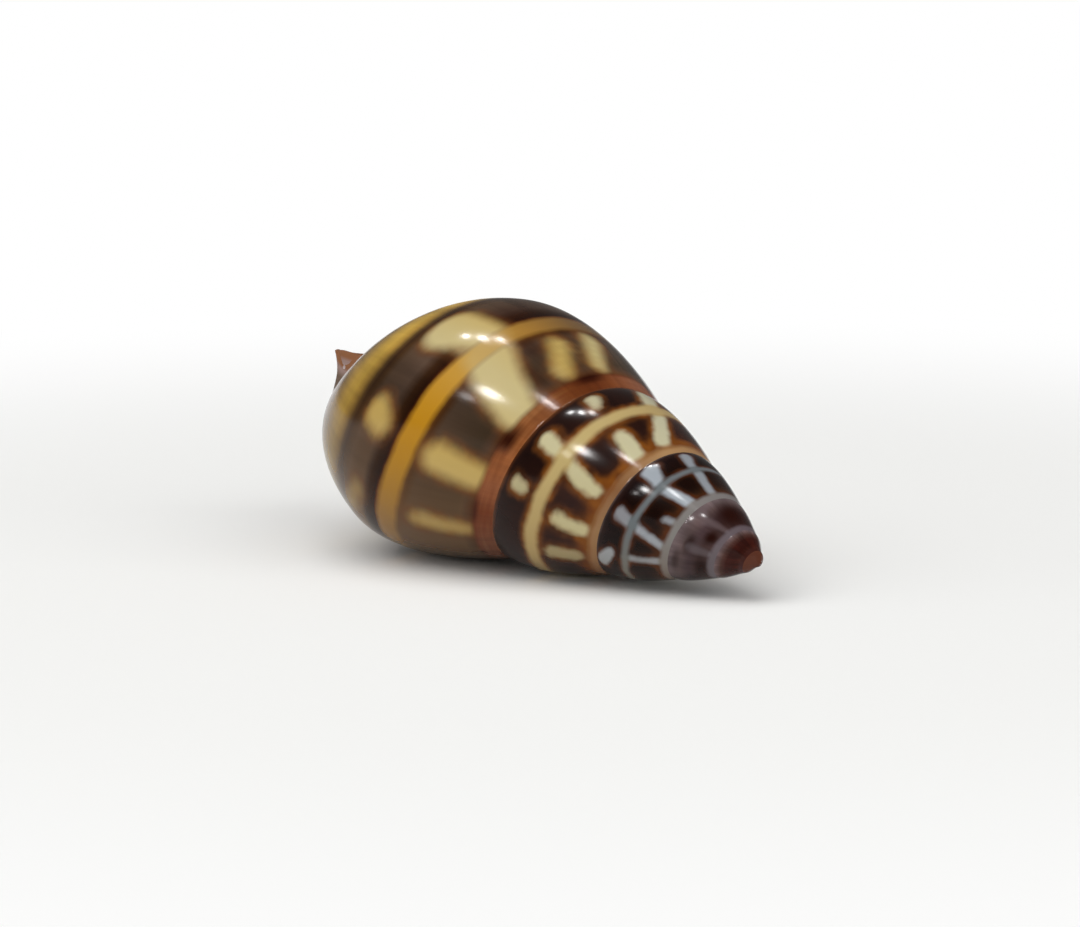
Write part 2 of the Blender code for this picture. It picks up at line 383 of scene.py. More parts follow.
def rimSkin(add, given, sizes, outer, hollow, across, row):
    # the rim rounds over from the outer edge to the inner edge
    lip = given["Lip Turn"]
    returning = add(calc, (across, 3), operation="GREATER_THAN")
    edgeRow = add(calc, (lip, returning), operation="SUBTRACT")
    mirrored = add(calc, (6, across), operation="SUBTRACT")
    mirrored = add(calc, (mirrored, 1), operation="MAXIMUM")
    edgeAcross = add(mixNode, {0: returning, 2: across, 3: mirrored})
    outerEdge = add(groupNode, {**sizes, "Row": edgeRow, "Across": edgeAcross}, node_tree=outer)
    innerEdge = add(groupNode, {**sizes, "Row": lip, "Ring": across}, node_tree=hollow)
    apart = add(vectorCalc, (outerEdge, innerEdge), operation="SUBTRACT")
    half = add(vectorCalc, (apart, (0.5,) * 3), operation="MULTIPLY")
    centre = add(vectorCalc, (innerEdge, half), operation="ADD")
    radius = add(vectorCalc, (half,), operation="LENGTH").outputs["Value"]
    angle = add(calc, (row, math.pi), operation="MULTIPLY")
    cosine = add(calc, (angle,), operation="COSINE")
    sine = add(calc, (angle,), operation="SINE")
    bulges = ends("To", (given["Lip Bulge"], given["Columella Bulge"]))
    bulge = add(mapRange, {"Value": across, **ends("From", fixed["bulgeFrom"]), **bulges},
                interpolation_type="SMOOTHSTEP")
    for factor in (radius, sine):
        bulge = add(calc, (bulge, factor), operation="MULTIPLY")
    forward = add(vectorCalc, ((0, 0, 1), centre), operation="CROSS_PRODUCT")
    forward = add(vectorCalc, (forward,), operation="NORMALIZE")
    tucked = add(vectorCalc, (half, cosine, centre), operation="MULTIPLY_ADD")
    rounded = add(vectorCalc, (forward, bulge, tucked), operation="MULTIPLY_ADD")
    return rounded, outerEdge.outputs["Turn"], edgeAcross


def unrolledSheet(add, given, width, length, start, rows):
    columns = add(calc, (given["Steps Across"], width, 1), operation="MULTIPLY_ADD")
    lines = add(calc, (rows, 1), operation="ADD")
    sheet = add("GeometryNodeMeshGrid",
                {"Size X": width, "Size Y": length, "Vertices X": columns, "Vertices Y": lines})
    middle = add(calc, (length, 0.5, start), operation="MULTIPLY_ADD")
    shift = add(combine, {"X": width / 2, "Y": middle})
    sheet = add(transform, {"Geometry": sheet, "Translation": shift})
    seat = add(separate, (add("GeometryNodeInputPosition"),))

    # finer steps beside the sutures, so that they stay crisp
    wave = add(calc, (seat.outputs["X"], math.tau), operation="MULTIPLY")
    wave = add(calc, (wave,), operation="SINE")
    crowding = add(calc, (given["Suture Crowding"], -1 / math.tau), operation="MULTIPLY")
    across = add(calc, (wave, crowding, seat.outputs["X"]), operation="MULTIPLY_ADD")
    return sheet, seat.outputs["Y"], across


def laidDown(add, given, upright):
    # laid on its back: the axis turned level, then drooped towards the apex, then stood on the ground
    bearing = add(calc, (given["Lip Bearing"], math.pi), operation="ADD")
    spin = add(combine, {"Z": bearing})
    droop = add(calc, (given["Axis Droop"], math.pi / 2), operation="ADD")
    tip = add(combine, {"Y": droop})
    laid = add(transform, {"Geometry": upright, "Rotation": spin})
    laid = add(transform, {"Geometry": laid, "Rotation": tip})
    box = add("GeometryNodeBoundBox", (laid,))
    low, high = box.outputs["Min"], box.outputs["Max"]
    middle = add(mixNode, {0: 0.5, 4: low, 5: high}, data_type="VECTOR")
    sideways = add(vectorCalc, (middle, (-1, -1, 0)), operation="MULTIPLY")
    stand = add(vectorCalc, (low, (0, 0, -1), sideways), operation="MULTIPLY_ADD")
    return add(transform, {"Geometry": laid, "Translation": stand})


def skinTree():
    parts = wallGroup(sutureGroup()), windGroup(), nearLipGroup()
    outer, hollow = outerGroup(*parts), hollowGroup(*parts)
    sockets = {**wallSizes, **mouthSizes, **skinSizes, "Shell Material": None}
    tree, add, given = newGroup("coiledShell", sockets, {"Geometry": "NodeSocketGeometry"})
    sizes = only(given, [*wallSizes, *mouthSizes])
    lip, rowsPerTurn, hollowTurns = given["Lip Turn"], given["Rows Per Turn"], given["Hollow Turns"]

    # how many rows each unrolled sheet has, and where it starts
    spireRows = add(calc, (lip, rowsPerTurn), operation="MULTIPLY")
    spireRows = add(calc, (spireRows,), operation="CEIL")
    spireTurns = add(calc, (spireRows, rowsPerTurn), operation="DIVIDE")
    hollowRows = add(calc, (hollowTurns, given["Hollow Rows Per Turn"]), operation="MULTIPLY")
    lastStart = add(calc, (lip, 1), operation="SUBTRACT")
    spireStart = add(calc, (lastStart, spireTurns), operation="SUBTRACT")
    hollowStart = add(calc, (lip, hollowTurns), operation="SUBTRACT")
    sheets = {  # kind: widths across, length in turns, first row, rows
        "spire": (1, spireTurns, spireStart, spireRows),
        "last": (3, 1, lastStart, rowsPerTurn),
        "rim": (6, 1, 0, given["Rim Steps"]),
        "hollow": (6, hollowTurns, hollowStart, hollowRows),
    }
    joined = add("GeometryNodeJoinGeometry")
    for kind, (width, length, start, rows) in sheets.items():
        sheet, row, across = unrolledSheet(add, given, width, length, start, rows)
        fromLip = add(calc, (lip, row), operation="SUBTRACT")
        if kind == "rim":
            position, turn, shownAcross = rimSkin(add, given, sizes, outer, hollow, across, row)
            fromLip, side = 0, row
        elif kind == "hollow":
            point = add(groupNode, {**sizes, "Row": row, "Ring": across}, node_tree=hollow)
            position, turn, shownAcross = (point.outputs[name] for name in ("Position", "Turn", "Across"))
            side = 1
        else:
            point = add(groupNode, {**sizes, "Row": row, "Across": across}, node_tree=outer)
            position, turn, shownAcross = point.outputs["Position"], point.outputs["Turn"], across
            side = 0
        place = add(combine, {"X": turn, "Y": shownAcross, "Z": fromLip})
        ring = add(combine, {"X": across, "Y": side})
        for name, value in (("place", place), ("ring", ring)):
            sheet = add("GeometryNodeStoreNamedAttribute", {"Geometry": sheet, "Name": name, "Value": value},
                        data_type="FLOAT_VECTOR", domain="POINT")
        wound = add("GeometryNodeSetPosition", {"Geometry": sheet, "Position": position})
        tree.links.new(wound.outputs[0], joined.inputs[0])

    whole = add("GeometryNodeRealizeInstances", (laidDown(add, given, joined),))
    finished = add("GeometryNodeSetMaterial", {"Geometry": whole, "Material": given["Shell Material"]})
    add("NodeGroupOutput", {"Geometry": finished})
    return tree


def grownShell(material):
    carrier = bpy.data.objects.new("shellGrowth", bpy.data.meshes.new("shellGrowth"))
    bpy.context.scene.collection.objects.link(carrier)
    modifier = carrier.modifiers.new("coiledShell", "NODES")
    modifier.node_group = skinTree()
    values = {**wallSizes, **mouthSizes, **skinSizes, "Shell Material": material}
    for socket in modifier.node_group.interface.items_tree:
        if socket.in_out == "INPUT":
            value = values[socket.name]
            if isinstance(value, tuple):
                value = [float(part) for part in value]
            modifier[socket.identifier] = value
    return carrier


# Pale streaks and dark blotches in the pigment. The ones on the face that shows best are listed for each
# whorl, counted back from the last: where a streak starts and ends as (turns past the near face, across,
# half width in turns), and how pale it is. The rest of the shell follows their rhythm.
markings = {
    "nearFace": 5.328,
    "streaks": [
        [((-0.176, 0.18, 0.009), (-0.202, 0.39, 0.01), 1), ((-0.118, 0.19, 0.01), (-0.146, 0.37, 0.009), 1),
         ((-0.028, 0.14, 0.024), (-0.068, 0.5, 0.027), 1), ((-0.087, 0.65, 0.024), (-0.074, 0.85, 0.031), 1),
         ((0.078, 0.14, 0.017), (0.07, 0.36, 0.018), 1), ((0.171, 0.16, 0.009), (0.164, 0.4, 0.01), 0.85),
         ((0.058, 0.79, 0.014), (0.05, 0.86, 0.017), 0.9), ((0.152, 0.85, 0.011), (0.18, 0.93, 0.013), 0.4)],
        [((-0.148, 0.14, 0.012), (-0.2, 0.5, 0.014), 1), ((-0.196, 0.55, 0.017), (-0.222, 0.88, 0.013), 0.9),
         ((-0.078, 0.13, 0.015), (-0.092, 0.34, 0.011), 1), ((0.026, 0.17, 0.014), (0.002, 0.5, 0.008), 1),
         ((0, 0.55, 0.01), (-0.015, 0.8, 0.014), 1), ((0.111, 0.13, 0.014), (0.101, 0.35, 0.011), 1),
         ((0.18, 0.17, 0.012), (0.176, 0.36, 0.012), 0.6), ((-0.103, 0.73, 0.007), (-0.112, 0.86, 0.01), 0.9),
         ((0.069, 0.73, 0.008), (0.066, 0.83, 0.01), 0.8)],
        [((-0.148, 0.05, 0.015), (-0.16, 0.5, 0.013), 0.8), ((-0.158, 0.6, 0.008), (-0.17, 0.86, 0.014), 0.8),
         ((-0.066, 0.04, 0.017), (-0.05, 0.5, 0.011), 1), ((-0.052, 0.58, 0.012), (-0.07, 0.86, 0.02), 1),
         ((0.015, 0.04, 0.009), (0.017, 0.2, 0.01), 0.7), ((0.102, 0.05, 0.012), (0.064, 0.5, 0.01), 0.85),
         ((0.061, 0.58, 0.009), (0.046, 0.8, 0.012), 0.6), ((0.156, 0.08, 0.011), (0.156, 0.5, 0.011), 0.7),
         ((0.15, 0.74, 0.012), (0.176, 0.87, 0.02), 0.8)],
        [((-0.066, 0.1, 0.012), (-0.048, 0.55, 0.014), 0.5), ((0.085, 0.05, 0.012), (0.07, 0.6, 0.012), 0.4),
         ((-0.04, 0.62, 0.012), (-0.075, 0.95, 0.018), 0.55)],
    ],
    "blotches": [  # (turns past the near face, across, half width in turns, half height across, depth)
        [(-0.143, 0.094, 0.026, 0.036, 1), (0.012, 0.082, 0.024, 0.042, 1),
         (0.132, 0.105, 0.022, 0.028, 0.7), (-0.08, 0.25, 0.012, 0.12, 0.5),
         (-0.113, 0.41, 0.014, 0.08, 0.5), (-0.13, 0.74, 0.04, 0.1, 0.5)],
        [(-0.045, 0.3, 0.02, 0.11, 0.4), (0.035, 0.75, 0.024, 0.1, 0.6)],
        [(0.018, 0.36, 0.03, 0.1, 1), (-0.108, 0.36, 0.028, 0.1, 1), (0.005, 0.75, 0.026, 0.13, 1)],
        [(-0.16, 0.44, 0.11, 0.38, 1), (0.006, 0.27, 0.036, 0.13, 1), (0.062, 0.6, 0.036, 0.1, 1),
         (0.165, 0.25, 0.05, 0.13, 1), (0.14, 0.8, 0.04, 0.1, 0.6)],
    ],
    "settledSpan": (-0.30, 0.25),  # turns on each side of the near face, where the listed ones are
    "firstTurn": 2.1,
    "pitch": 0.088,  # turns
    "pitchJitter": 0.019,
    "lean": -0.034,
    "leanJitter": 0.020,
    "halfWidth": (0.008, 0.019),
    "paleness": (0.7, 1.0),
    "spotShare": 0.7,  # how many streaks go on below the band
    "acrossPerTurn": 0.23,  # one across is this many turns long
    "rounding": 0.004,  # turns, how gently a streak's two sides meet, and how gently two streaks do
    "seed": 11,
    # the streaks and blotches that follow the rhythm
    "clearOfLip": 0.03,  # turns
    "acrossEnds": (0.12, 0.48, 0.70, 0.88),  # where a streak starts and ends, above and below the band
    "footLean": 0.6,  # of the lean, below the band
    "blotch": (0.11, 0.024, 0.035, 0.9),  # across, half width in turns, half height across, depth
    "blotchEdge": 1.5,  # how sharply a blotch ends
}


def allMarks():
    dice = random.Random(markings["seed"])
    streaks, blotches = [], []
    for back, (streakRow, blotchRow) in enumerate(zip(markings["streaks"], markings["blotches"])):
        near = markings["nearFace"] - back
        for top, bottom, paleness in streakRow:
            streaks.append(((near + top[0], *top[1:]), (near + bottom[0], *bottom[1:]), paleness))
        blotches += [(near + blotch[0], *blotch[1:]) for blotch in blotchRow]
    low, high = markings["settledSpan"]
    topAcross, aboveBand, belowBand, footAcross = markings["acrossEnds"]
    turn = markings["firstTurn"]
    while turn < growth["lipTurn"] - markings["clearOfLip"]:
        top = turn + dice.uniform(-1, 1) * markings["pitchJitter"]
        bottom = top + markings["lean"] + dice.uniform(-1, 1) * markings["leanJitter"]
        foot = bottom + markings["footLean"] * markings["lean"]
        widths = [dice.uniform(*markings["halfWidth"]) for part in range(4)]
        paleness = dice.uniform(*markings["paleness"])
        goesOn = dice.random() < markings["spotShare"]
        fromNear = [(end - markings["nearFace"] + 0.5) % 1 - 0.5 for end in (top, bottom, foot)]
        if not any(low < distance < high for distance in fromNear):
            streaks.append(((top, topAcross, widths[0]), (bottom, aboveBand, widths[1]), paleness))
            blotches.append((turn + markings["pitch"] / 2, *markings["blotch"]))
            if goesOn:
                streaks.append(((bottom, belowBand, widths[2]), (foot, footAcross, widths[3]), paleness))
        turn += markings["pitch"]
    return streaks, blotches


def pigmentFields(turn, across):
    # how far outside the nearest streak each point is, in turns, how pale that streak is, and how much of a
    # dark blotch is there
    scale = markings["acrossPerTurn"]
    streaks, blotches = allMarks()
    rounding = markings["rounding"]
    leastCloseness = 1e-9  # keeps the logarithm finite far from every streak
    closeness = np.full(len(turn), leastCloseness)
    paleness = np.full(len(turn), leastCloseness)
    for (top, topAcross, topHalf), (bottom, bottomAcross, bottomHalf), strength in streaks:
        run = np.array([bottom - top, (bottomAcross - topAcross) * scale])
        offX, offY = turn - top, (across - topAcross) * scale
        share = np.clip((offX * run[0] + offY * run[1]) / (run @ run), 0, 1)
        halfWidth = topHalf + (bottomHalf - topHalf) * share
        offMiddle = np.hypot(offX - share * run[0], offY - share * run[1])
        near = np.exp((halfWidth + rounding / 2 - np.hypot(offMiddle, rounding)) / rounding)
        closeness += near
        paleness += near * strength
    dark = np.zeros(len(turn))
    for middle, middleAcross, halfWidth, halfHeight, depth in blotches:
        spread = ((turn - middle) / halfWidth) ** 2 + ((across - middleAcross) / halfHeight) ** 2
        dark = np.maximum(dark, depth * np.exp(-spread ** markings["blotchEdge"]))
    return {"streak": -rounding * np.log(closeness), "paleness": paleness / closeness, "blotch": dark}


def takenFields(grown):  # the growth coordinates and the pigment at each vertex
    fields = {}
    for name, axes in (("place", ("turn", "across", "fromLip")), ("ring", ("ring", "side"))):
        values = np.empty(len(grown.vertices) * 3, np.float32)
        grown.attributes[name].data.foreach_get("vector", values)
        grown.attributes.remove(grown.attributes[name])
        for axis, title in enumerate(axes):
            fields[title] = values[axis::3]
    fields.update(pigmentFields(fields["turn"].astype(float), fields["across"].astype(float)))
    return fields


def closedSkin(grown):  # the sheets sewn together and closed at the tip; returns the number of open edges
    mesh = bmesh.new()
    mesh.from_mesh(grown)
    droop = skin["axisDroop"]
    outward = Vector((math.cos(droop), 0, -math.sin(droop)))
    tip = max(mesh.verts, key=lambda point: point.co @ outward).co.copy()
    bmesh.ops.remove_doubles(mesh, verts=mesh.verts, dist=fixed["mergeDistance"])
    atTip = [point for point in mesh.verts if (point.co - tip).length < fixed["apexReach"]]
    bmesh.ops.pointmerge(mesh, verts=atTip, merge_co=tip)
    bmesh.ops.holes_fill(mesh, edges=[edge for edge in mesh.edges if edge.is_boundary], sides=0)
    bmesh.ops.recalc_face_normals(mesh, faces=mesh.faces)
    openEdges = sum(1 for edge in mesh.edges if not edge.is_manifold)
    mesh.to_mesh(grown)
    mesh.free()
    return openEdges


def finishedShell(carrier):
    depsgraph = bpy.context.evaluated_depsgraph_get()
    grown = bpy.data.meshes.new_from_object(carrier.evaluated_get(depsgraph), depsgraph=depsgraph)
    carrier.modifiers.clear()
    bpy.data.objects.remove(carrier)
    fields = takenFields(grown)
    corner = np.empty(len(grown.loops), np.int32)
    grown.loops.foreach_get("vertex_index", corner)
    for name, values in fields.items():  # kept on face corners, since the two sides of a suture differ
        attribute = grown.attributes.new(name, "FLOAT", "CORNER")
        attribute.data.foreach_set("value", values[corner].astype(np.float32))
    openEdges = closedSkin(grown)
    grown.shade_smooth()
    shell = bpy.data.objects.new("tree_snail_shell", grown)
    grown.name = "tree_snail_shell"
    bpy.context.scene.collection.objects.link(shell)
    grown.calc_loop_triangles()
    print("shell skin:", len(grown.loop_triangles), "triangles,", openEdges, "open edges")
    return shell


def colour(hexText):  # sRGB hex to linear
    parts = [int(hexText[i:i + 2], 16) / 255 for i in (1, 3, 5)]
    return [part / 12.92 if part <= 0.04045 else ((part + 0.055) / 1.055) ** 2.4 for part in parts] + [1]


def fillRamp(node, stops, reach):  # reach is the place at the end of the ramp
    elements = node.color_ramp.elements
    while len(elements) > 1:
        elements.remove(elements[-1])
    elements[0].position, elements[0].color = stops[0][0] / reach, colour(stops[0][1])
    for place, hexText in stops[1:]:
        elements.new(place / reach).color = colour(hexText)
    return node


# Glossy pigmented aragonite, laid down in bands by the snail's mantle under a thin clear skin: colours with
# soft edges, under a wet gloss with small crisp highlights
pigment = {
    # the dark ground across a grown whorl: rust under the suture, grey-brown, the orange band with its dark
    # lower edge, grey-brown again, a dark line, the ochre base and the purplish foot
    "grownGround": [
        # the rust is lighter in its middle (0.030): partly its own colour, partly a painted highlight along
        # the band
        (0.000, "#84462e"), (0.030, "#9c5c40"), (0.060, "#8a4628"), (0.078, "#662a10"), (0.094, "#5a2c14"),
        (0.115, "#5c3a20"), (0.150, "#4e3828"), (0.190, "#403122"), (0.420, "#48372a"), (0.462, "#44270e"),
        (0.490, "#5e3a10"), (0.628, "#4f2404"), (0.650, "#220c01"), (0.700, "#301a08"), (0.770, "#4c3a2e"),
        (0.940, "#4a382a"), (1.010, "#3e2812"), (1.050, "#341e0d"), (1.090, "#50391a"), (1.160, "#a07c34"),
        (1.230, "#bf9a40"), (1.320, "#c29c44"), (1.450, "#a08046"), (1.620, "#785c42"), (1.800, "#6c564c"),
        (2.000, "#7a685c")],
    # the older whorls: brown below the suture, dark windows, and brown again above the next suture
    "spireGround": [
        (0.000, "#7a4c28"), (0.060, "#6c3818"), (0.110, "#562a0f"), (0.170, "#34190c"), (0.260, "#28130e"),
        (0.420, "#2a130a"), (0.460, "#3e2010"), (0.600, "#3a1c0c"), (0.640, "#200c06"), (0.860, "#1e0d08"),
        (0.945, "#220f09"), (0.980, "#44230f"), (1.000, "#5c3418")],
    "youngGround": [
        (0.000, "#4a3a30"), (0.080, "#3c2412"), (0.250, "#1f0d05"), (0.450, "#180903"), (0.620, "#140501"),
        (0.860, "#160706"), (0.950, "#241410"), (1.000, "#4a3c38")],
    "firstGround": [
        (0.000, "#584a50"), (0.100, "#4c3c3e"), (0.180, "#3e2c2a"), (0.300, "#3a2826"), (0.500, "#443436"),
        (0.700, "#5c4b4a"), (1.000, "#665859")],
    "tipGround": [(0.000, "#50383a"), (0.120, "#3c1a12"), (0.300, "#34110a"), (0.550, "#36140e"),
                  (0.720, "#482e28"), (0.880, "#604c4a"), (1.000, "#665658")],
    # by turn: the orange band and the rust under the suture of a grown whorl, the pale streaks, their brown
    # edge, the band and the line below the suture of the spire's net, and the dark blotches
    "band": [(4.8, "#8a6534"), (5.05, "#5c4630"), (5.13, "#6e5230"), (5.20, "#997030"), (5.28, "#b88c38"),
             (5.36, "#b47f14"), (5.42, "#ac7c26"), (5.52, "#8e6a3a"), (5.9, "#94703a")],
    "rust": [(4.9, "#7e523a"), (5.11, "#8a563a"), (5.15, "#784020"), (5.19, "#56260f"), (5.23, "#6c3a18"),
             (5.28, "#8e5a32"), (5.38, "#90532a"), (5.42, "#915838"), (5.46, "#723a1e"), (5.54, "#7c4e36")],
    "pale": [(1.6, "#4c3634"), (2.3, "#6a5a5c"), (2.9, "#808890"), (3.4, "#a0a6ac"), (3.9, "#b3b2a0"),
             (4.3, "#bcb48e"), (4.9, "#bba668"), (5.10, "#c0b27e"), (5.145, "#c0b07a"), (5.19, "#b4964c"),
             (5.27, "#bcac7b"), (5.31, "#bfae7c"), (5.37, "#ba9c54"), (5.42, "#bda263"), (5.6, "#ae8f50")],
    "edge": [(2.0, "#341409"), (3.0, "#3e1d08"), (3.4, "#54280c"), (4.3, "#7c4614"), (4.9, "#6a3c12"),
             (5.3, "#6e421e")],
    "netBand": [(2.3, "#5c5254"), (2.9, "#62666a"), (3.4, "#656b6d"), (4.0, "#a58c5e"), (4.3, "#b5a06a"),
                (4.8, "#a8885a")],
    "netSuture": [(1.4, "#3a1a14"), (1.9, "#54444a"), (2.6, "#686063"), (3.4, "#7c7874"), (4.0, "#8c6844"),
                  (4.2, "#a47f56"), (4.33, "#80593a"), (4.43, "#94704c"), (4.8, "#86512e")],
    "blotch": [(2.0, "#260a04"), (2.6, "#1c0602"), (3.4, "#120401"), (4.3, "#1a0a06"), (4.9, "#280700")],
    "rustDeep": "#5a200a",
    # painted shade: the colour that darkens the last whorl's base towards the lip
    "lateGround": "#684d32",
    "lateBase": "#3c2408",
    "apex": "#583022",
    "nacre": "#cfc6c8",
    "lipPurple": "#8e766e",
    "lipBrown": "#84583c",
}
toneNames = ("band", "rust", "pale", "edge", "netBand", "netSuture", "blotch")

# Where the pigment lies. Places are in turns or across, and a pair of them is where a thing starts and
# where it is full, so the first may be the greater.
pattern = {
    "uneven": ((1.6, 0.05, 0.016), (0.45, 0.014, 0.007)),  # size in mm, and reach across and in turns
    "grownCalm": 0.4,  # share of that unevenness on the last whorl
    # where each ground takes over from the one before: the net begins with the second, and with the last it
    # gives way to the last whorl's flames
    "groundComes": {"firstGround": (1.7, 2.0), "youngGround": (2.45, 2.75), "spireGround": (3.5, 3.85),
                    "grownGround": (4.75, 4.98)},
    # Unevenness of the ground's and the rust's colour, as (repeats per turn and across, detail, the span of
    # the noise that counts, what it is turned into). The last whorl is 47 mm round, so 70 repeats are 0.7 mm
    # apart, and one across is 11 mm.
    "growthStreaks": ((70, 1.4), 2, (0.3, 0.7), (0.86, 1.12)),
    "flames": ((16, 1.1), 1, (0.35, 0.65), (0.72, 1.25)),
    "rustSpots": ((9, 26), 2, (0.40, 0.66), (0, 0.4)),
    "inRust": (0.112, 0.086),
    # how the last whorl's ground turns browner, and its base is darkened by painted shade, as (turns, most of
    # the tint, where), and where as (what it goes by, places, least share)
    "tints": {
        "lateGround": ((5.37, 5.53), 0.85, (("across", (0.10, 0.17), 0), ("across", (1.05, 0.95), 0.4),
                                            ("offBandFoot", (0.05, 0.10), 0))),
        "lateBase": ((5.33, 5.38), 0.4, (("across", (0.93, 1.04), 0),)),
    },
    "bandMiddle": 0.54,
    "bandFoot": 0.68,
    "bandDrifts": (5.41, 5.54),  # turns between which the band drifts down the last whorl
    "bandDrift": 0.08,  # across
    "driftsWithin": (0.38, 0.16),  # of the band's middle
    "onBandFromTop": (0.475, 0.515),
    "onBandFromFoot": (0.64, 0.60),
    "paleOnBand": 0.4,  # share of a pale streak that stays where it crosses the band
    "netLinesGrow": (2.3, 4.1),  # turns, between which the half width of the net's band and the width of its
    "netLines": {"netBand": (0.016, 0.056), "netSuture": (0.130, 0.062)},  # line below the suture change
    "netJoin": 0.012,  # turns, how gently the streaks run into the lines
    "onNetLine": (0.012, 0.001),  # turns away from it
    "softness": (0.0075, 0.012),  # turns, of a pale edge on the net and elsewhere
    "edgeReach": 0.020,  # turns that the brown edge reaches into the dark
    "edgePatchSize": 0.8,  # mm
    "edgePatches": ((0.35, 0.62), (0.3, 1)),  # the span of the noise that counts, what it is turned into
    "windowTop": (0.22, 0.07),  # where the brown is widest on the spire
    "windowTopReach": 0.016,  # turns
    "offBase": (1.1, 1.0),
    "streaksStop": (0.122, 0.088),  # at the rust under the suture
    "apexGoes": (0.85, 0.5),
    "lip": {"lipPurple": (0.085, 0.035), "lipBrown": (0.035, 0.012)},  # turns behind the lip
    "insideFrom": 0.5,  # across the rounding of the lip's edge
    "glaze": 0.72,
}
shellLook = {
    "growthLine": 0.35,  # mm between fine growth lines, coarser than real so that they show
    "lastWhorlRound": 47,  # mm
    "linesAcross": 1.2,  # how often the lines change across a whorl
    "linesFrom": (1.5, 4),  # turns
    "lineHeight": 0.004,  # mm
    "lineStrength": 0.5,
    "roughness": 0.15,
    "ior": 1.5,
    "shine": 0.12,
}


def pigmentPlaces(add):  # what the pigment goes by at each point
    names = ("turn", "across", "fromLip", "side", "streak", "paleness", "blotch")
    at = {name: add("ShaderNodeAttribute", attribute_name=name).outputs["Fac"] for name in names}
    turn, comes = at["turn"], pattern["groundComes"]
    at["object"] = add("ShaderNodeTexCoord").outputs["Object"]
    at["unrolled"] = add(combine, {"X": turn, "Y": at["across"]})
    at["grownUp"] = add(mapRange, {"Value": turn, **ends("From", comes["grownGround"])})
    at["young"] = add(mapRange, {"Value": turn, **ends("From", comes["youngGround"][::-1])})

    # pigment is never laid down quite evenly: its edges wander
    calm = add(mapRange, {"Value": at["grownUp"], "To Min": 1, "To Max": pattern["grownCalm"]})
    across, streak = at["across"], at["streak"]
    for size, acrossReach, streakReach in pattern["uneven"]:
        uneven = add(noise, {"Vector": at["object"], "Scale": 1 / (size * mm), "Detail": 1})
        centred = add(calc, (uneven, 0.5), operation="SUBTRACT")
        centred = add(calc, (centred, calm), operation="MULTIPLY")
        across = add(calc, (centred, acrossReach, across), operation="MULTIPLY_ADD")
        streak = add(calc, (centred, streakReach, streak), operation="MULTIPLY_ADD")
    drift = add(mapRange, {"Value": turn, **ends("From", pattern["bandDrifts"]),
                           "To Max": -pattern["bandDrift"]})
    offBand = add(calc, (at["across"], pattern["bandMiddle"]), operation="SUBTRACT")
    offBand = add(calc, (offBand,), operation="ABSOLUTE")
    byBand = add(mapRange, {"Value": offBand, **ends("From", pattern["driftsWithin"])},
                 interpolation_type="SMOOTHSTEP")
    at["unevenAcross"] = add(calc, (drift, byBand, across), operation="MULTIPLY_ADD")
    at["unevenStreak"] = streak
    return at


def tonesByAge(add, turn):  # the pigments that change as the shell grows
    last = math.ceil(growth["lipTurn"])
    age = add(calc, (turn, last), operation="DIVIDE")
    return {name: fillRamp(add("ShaderNodeValToRGB", (age,)), pigment[name], last) for name in toneNames}


def groundColour(add, at, tones):
    across = at["unevenAcross"]
    endOfBase = 2
    reach = add(calc, (across, endOfBase), operation="DIVIDE")
    comes = pattern["groundComes"]
    ramps = [fillRamp(add("ShaderNodeValToRGB", (reach,)), pigment[name], endOfBase)
             for name in ("tipGround", *comes)]
    ground = ramps[0]
    for ramp, span in zip(ramps[1:], comes.values()):
        older = add(mapRange, {"Value": at["turn"], **ends("From", span)})
        ground = add(mixNode, {0: older, 6: ground, 7: ramp}, data_type="RGBA")
    grain = {}
    for name in ("growthStreaks", "flames", "rustSpots"):
        repeats, detail, found, made = pattern[name]
        spot = add(vectorCalc, (at["unrolled"], (*repeats, 1)), operation="MULTIPLY")
        uneven = add(noise, {"Vector": spot, "Scale": 1, "Detail": detail})
        grain[name] = add(mapRange, {"Value": uneven, **ends("From", found), **ends("To", made)})
    for name in ("growthStreaks", "flames"):
        ground = add(vectorCalc, (ground, grain[name]), operation="MULTIPLY")

    # the rust under the suture
    inRust = add(mapRange, {"Value": at["across"], **ends("From", pattern["inRust"])})
    inRust = add(calc, (inRust, at["grownUp"]), operation="MULTIPLY")
    deep = colour(pigment["rustDeep"])
    rust = add(mixNode, {0: grain["rustSpots"], 6: tones["rust"], 7: deep}, data_type="RGBA")
    rust = add(vectorCalc, (rust, grain["growthStreaks"]), operation="MULTIPLY")
    ground = add(mixNode, {0: inRust, 6: ground, 7: rust}, data_type="RGBA")

    # towards the lip the last whorl's ground turns browner, and its base is darkened by painted shade
    offFoot = add(calc, (across, pattern["bandFoot"]), operation="SUBTRACT")
    offFoot = add(calc, (offFoot,), operation="ABSOLUTE")
    known = {"across": across, "offBandFoot": offFoot}
    for name, (turns, most, places) in pattern["tints"].items():
        share = add(mapRange, {"Value": at["turn"], **ends("From", turns), "To Max": most})
        for what, span, least in places:
            there = add(mapRange, {"Value": known[what], **ends("From", span), "To Min": least})
            share = add(calc, (share, there), operation="MULTIPLY")
        ground = add(mixNode, {0: share, 6: ground, 7: colour(pigment[name])}, data_type="RGBA")
    return ground


